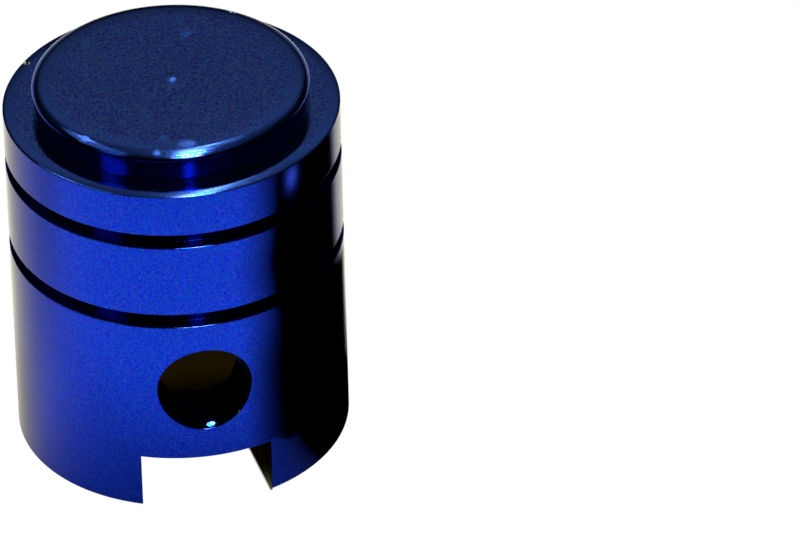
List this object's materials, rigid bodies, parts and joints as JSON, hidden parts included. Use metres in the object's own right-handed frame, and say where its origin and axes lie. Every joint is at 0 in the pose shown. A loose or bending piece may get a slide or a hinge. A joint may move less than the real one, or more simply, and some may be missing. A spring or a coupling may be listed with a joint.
{
  "type": "tyre valve cap",
  "caption": "Screw-on tyre valve cap turned like a small piston: raised crown, ring grooves, cross-drilled slotted skirt and a blind threaded bore with a rubber seal.",
  "frame": {"origin": "centre of the skirt's rim, on the cap's axis", "axes": "+Z along the axis, from the open rim to the crown; the cross hole and the skirt's cut-outs run along Y, with the front at -Y"},
  "size_m": [0.012, 0.012, 0.0146],
  "materials": {
    "blue_anodised_aluminium": "satin",
    "black_rubber": "matte"
  },
  "bodies": {
    "root": {"cap_body": "blue_anodised_aluminium", "sealing_washer": "black_rubber"}
  },
  "joints": []
}
